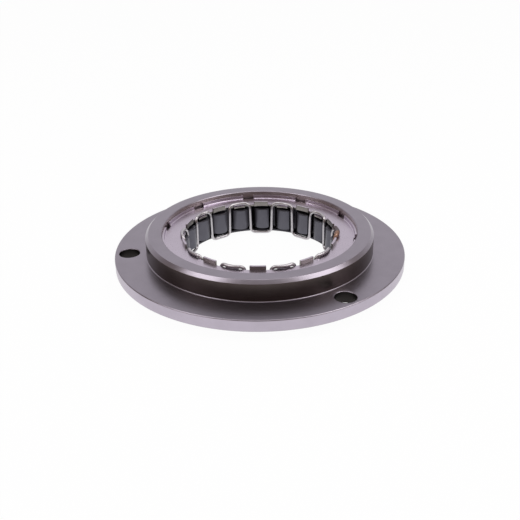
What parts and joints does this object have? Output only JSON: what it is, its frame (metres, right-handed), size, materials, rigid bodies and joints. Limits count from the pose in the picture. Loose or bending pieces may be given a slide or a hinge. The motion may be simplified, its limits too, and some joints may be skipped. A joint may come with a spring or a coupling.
{
  "type": "sprag clutch",
  "caption": "Flanged one-way sprag clutch for a starter gear: bolted outer race, pressed cage plate, looped wire retainer and a full ring of spring-loaded sprags.",
  "frame": {"origin": "clutch axis at the underside of the bolting flange", "axes": "+Z along the clutch axis, from the flange's underside towards the hub and the cage plate; +X and +Y in the flange's plane, with a bolt hole 65.4 degrees from +X"},
  "size_m": [0.117, 0.117, 0.0164],
  "materials": {
    "ground_steel": "turned and ground hardened steel",
    "pressed_steel": "satin pressed sheet steel",
    "cage_steel": "satin pressed sheet steel",
    "spring_steel": "cold-rolled spring strip",
    "wire_steel": "drawn bright wire",
    "sprag_steel": "hardened sprag steel, tumbled",
    "braze": "dull copper braze"
  },
  "bodies": {
    "race_and_cage": {"outer_race": "ground_steel", "cage_plate": "pressed_steel", "outer_cage": "cage_steel", "ribbon_spring": "spring_steel"},
    "wire": {"wire_retainer": "wire_steel", "braze_joint": "braze"},
    "sprag_01": {"sprag_01": "sprag_steel"},
    "sprag_02": {"sprag_02": "sprag_steel"},
    "sprag_03": {"sprag_03": "sprag_steel"},
    "sprag_04": {"sprag_04": "sprag_steel"},
    "sprag_05": {"sprag_05": "sprag_steel"},
    "sprag_06": {"sprag_06": "sprag_steel"},
    "sprag_07": {"sprag_07": "sprag_steel"},
    "sprag_08": {"sprag_08": "sprag_steel"},
    "sprag_09": {"sprag_09": "sprag_steel"},
    "sprag_10": {"sprag_10": "sprag_steel"},
    "sprag_11": {"sprag_11": "sprag_steel"},
    "sprag_12": {"sprag_12": "sprag_steel"},
    "sprag_13": {"sprag_13": "sprag_steel"},
    "sprag_14": {"sprag_14": "sprag_steel"},
    "sprag_15": {"sprag_15": "sprag_steel"},
    "sprag_16": {"sprag_16": "sprag_steel"},
    "sprag_17": {"sprag_17": "sprag_steel"},
    "sprag_18": {"sprag_18": "sprag_steel"},
    "sprag_19": {"sprag_19": "sprag_steel"},
    "sprag_20": {"sprag_20": "sprag_steel"}
  },
  "joints": [
    {"name": "sprag_01_tilt", "type": "hinge", "parent": "race_and_cage", "child": "sprag_01", "pos_m": [-0.00083, -0.03295, 0.004], "axis": [0, 0, 1], "range_deg": [0, 14], "stiffness_Nm_per_rad": 0.004, "springref_deg": -20.05},
    {"name": "sprag_02_tilt", "type": "hinge", "parent": "race_and_cage", "child": "sprag_02", "pos_m": [0.00939, -0.0316, 0.004], "axis": [0, 0, 1], "range_deg": [0, 14], "stiffness_Nm_per_rad": 0.004, "springref_deg": -20.05},
    {"name": "sprag_03_tilt", "type": "hinge", "parent": "race_and_cage", "child": "sprag_03", "pos_m": [0.0187, -0.02715, 0.004], "axis": [0, 0, 1], "range_deg": [0, 14], "stiffness_Nm_per_rad": 0.004, "springref_deg": -20.05},
    {"name": "sprag_04_tilt", "type": "hinge", "parent": "race_and_cage", "child": "sprag_04", "pos_m": [0.02617, -0.02005, 0.004], "axis": [0, 0, 1], "range_deg": [0, 14], "stiffness_Nm_per_rad": 0.004, "springref_deg": -20.05},
    {"name": "sprag_05_tilt", "type": "hinge", "parent": "race_and_cage", "child": "sprag_05", "pos_m": [0.03108, -0.01098, 0.004], "axis": [0, 0, 1], "range_deg": [0, 14], "stiffness_Nm_per_rad": 0.004, "springref_deg": -20.05},
    {"name": "sprag_06_tilt", "type": "hinge", "parent": "race_and_cage", "child": "sprag_06", "pos_m": [0.03295, -0.00083, 0.004], "axis": [0, 0, 1], "range_deg": [0, 14], "stiffness_Nm_per_rad": 0.004, "springref_deg": -20.05},
    {"name": "sprag_07_tilt", "type": "hinge", "parent": "race_and_cage", "child": "sprag_07", "pos_m": [0.0316, 0.00939, 0.004], "axis": [0, 0, 1], "range_deg": [0, 14], "stiffness_Nm_per_rad": 0.004, "springref_deg": -20.05},
    {"name": "sprag_08_tilt", "type": "hinge", "parent": "race_and_cage", "child": "sprag_08", "pos_m": [0.02715, 0.0187, 0.004], "axis": [0, 0, 1], "range_deg": [0, 14], "stiffness_Nm_per_rad": 0.004, "springref_deg": -20.05},
    {"name": "sprag_09_tilt", "type": "hinge", "parent": "race_and_cage", "child": "sprag_09", "pos_m": [0.02005, 0.02617, 0.004], "axis": [0, 0, 1], "range_deg": [0, 14], "stiffness_Nm_per_rad": 0.004, "springref_deg": -20.05},
    {"name": "sprag_10_tilt", "type": "hinge", "parent": "race_and_cage", "child": "sprag_10", "pos_m": [0.01098, 0.03108, 0.004], "axis": [0, 0, 1], "range_deg": [0, 14], "stiffness_Nm_per_rad": 0.004, "springref_deg": -20.05},
    {"name": "sprag_11_tilt", "type": "hinge", "parent": "race_and_cage", "child": "sprag_11", "pos_m": [0.00083, 0.03295, 0.004], "axis": [0, 0, 1], "range_deg": [0, 14], "stiffness_Nm_per_rad": 0.004, "springref_deg": -20.05},
    {"name": "sprag_12_tilt", "type": "hinge", "parent": "race_and_cage", "child": "sprag_12", "pos_m": [-0.00939, 0.0316, 0.004], "axis": [0, 0, 1], "range_deg": [0, 14], "stiffness_Nm_per_rad": 0.004, "springref_deg": -20.05},
    {"name": "sprag_13_tilt", "type": "hinge", "parent": "race_and_cage", "child": "sprag_13", "pos_m": [-0.0187, 0.02715, 0.004], "axis": [0, 0, 1], "range_deg": [0, 14], "stiffness_Nm_per_rad": 0.004, "springref_deg": -20.05},
    {"name": "sprag_14_tilt", "type": "hinge", "parent": "race_and_cage", "child": "sprag_14", "pos_m": [-0.02617, 0.02005, 0.004], "axis": [0, 0, 1], "range_deg": [0, 14], "stiffness_Nm_per_rad": 0.004, "springref_deg": -20.05},
    {"name": "sprag_15_tilt", "type": "hinge", "parent": "race_and_cage", "child": "sprag_15", "pos_m": [-0.03108, 0.01098, 0.004], "axis": [0, 0, 1], "range_deg": [0, 14], "stiffness_Nm_per_rad": 0.004, "springref_deg": -20.05},
    {"name": "sprag_16_tilt", "type": "hinge", "parent": "race_and_cage", "child": "sprag_16", "pos_m": [-0.03295, 0.00083, 0.004], "axis": [0, 0, 1], "range_deg": [0, 14], "stiffness_Nm_per_rad": 0.004, "springref_deg": -20.05},
    {"name": "sprag_17_tilt", "type": "hinge", "parent": "race_and_cage", "child": "sprag_17", "pos_m": [-0.0316, -0.00939, 0.004], "axis": [0, 0, 1], "range_deg": [0, 14], "stiffness_Nm_per_rad": 0.004, "springref_deg": -20.05},
    {"name": "sprag_18_tilt", "type": "hinge", "parent": "race_and_cage", "child": "sprag_18", "pos_m": [-0.02715, -0.0187, 0.004], "axis": [0, 0, 1], "range_deg": [0, 14], "stiffness_Nm_per_rad": 0.004, "springref_deg": -20.05},
    {"name": "sprag_19_tilt", "type": "hinge", "parent": "race_and_cage", "child": "sprag_19", "pos_m": [-0.02005, -0.02617, 0.004], "axis": [0, 0, 1], "range_deg": [0, 14], "stiffness_Nm_per_rad": 0.004, "springref_deg": -20.05},
    {"name": "sprag_20_tilt", "type": "hinge", "parent": "race_and_cage", "child": "sprag_20", "pos_m": [-0.01098, -0.03108, 0.004], "axis": [0, 0, 1], "range_deg": [0, 14], "stiffness_Nm_per_rad": 0.004, "springref_deg": -20.05},
    {"name": "wire_turn", "type": "hinge", "parent": "race_and_cage", "child": "wire", "pos_m": [0, 0, 0.004], "axis": [0, 0, 1], "range_deg": [-1.24, 0]}
  ],
  "couplings": [
    {"joint": "sprag_02_tilt", "follows": "sprag_01_tilt", "ratio": 1},
    {"joint": "sprag_03_tilt", "follows": "sprag_01_tilt", "ratio": 1},
    {"joint": "sprag_04_tilt", "follows": "sprag_01_tilt", "ratio": 1},
    {"joint": "sprag_05_tilt", "follows": "sprag_01_tilt", "ratio": 1},
    {"joint": "sprag_06_tilt", "follows": "sprag_01_tilt", "ratio": 1},
    {"joint": "sprag_07_tilt", "follows": "sprag_01_tilt", "ratio": 1},
    {"joint": "sprag_08_tilt", "follows": "sprag_01_tilt", "ratio": 1},
    {"joint": "sprag_09_tilt", "follows": "sprag_01_tilt", "ratio": 1},
    {"joint": "sprag_10_tilt", "follows": "sprag_01_tilt", "ratio": 1},
    {"joint": "sprag_11_tilt", "follows": "sprag_01_tilt", "ratio": 1},
    {"joint": "sprag_12_tilt", "follows": "sprag_01_tilt", "ratio": 1},
    {"joint": "sprag_13_tilt", "follows": "sprag_01_tilt", "ratio": 1},
    {"joint": "sprag_14_tilt", "follows": "sprag_01_tilt", "ratio": 1},
    {"joint": "sprag_15_tilt", "follows": "sprag_01_tilt", "ratio": 1},
    {"joint": "sprag_16_tilt", "follows": "sprag_01_tilt", "ratio": 1},
    {"joint": "sprag_17_tilt", "follows": "sprag_01_tilt", "ratio": 1},
    {"joint": "sprag_18_tilt", "follows": "sprag_01_tilt", "ratio": 1},
    {"joint": "sprag_19_tilt", "follows": "sprag_01_tilt", "ratio": 1},
    {"joint": "sprag_20_tilt", "follows": "sprag_01_tilt", "ratio": 1},
    {"joint": "wire_turn", "follows": "sprag_01_tilt", "ratio": -0.08777}
  ]
}
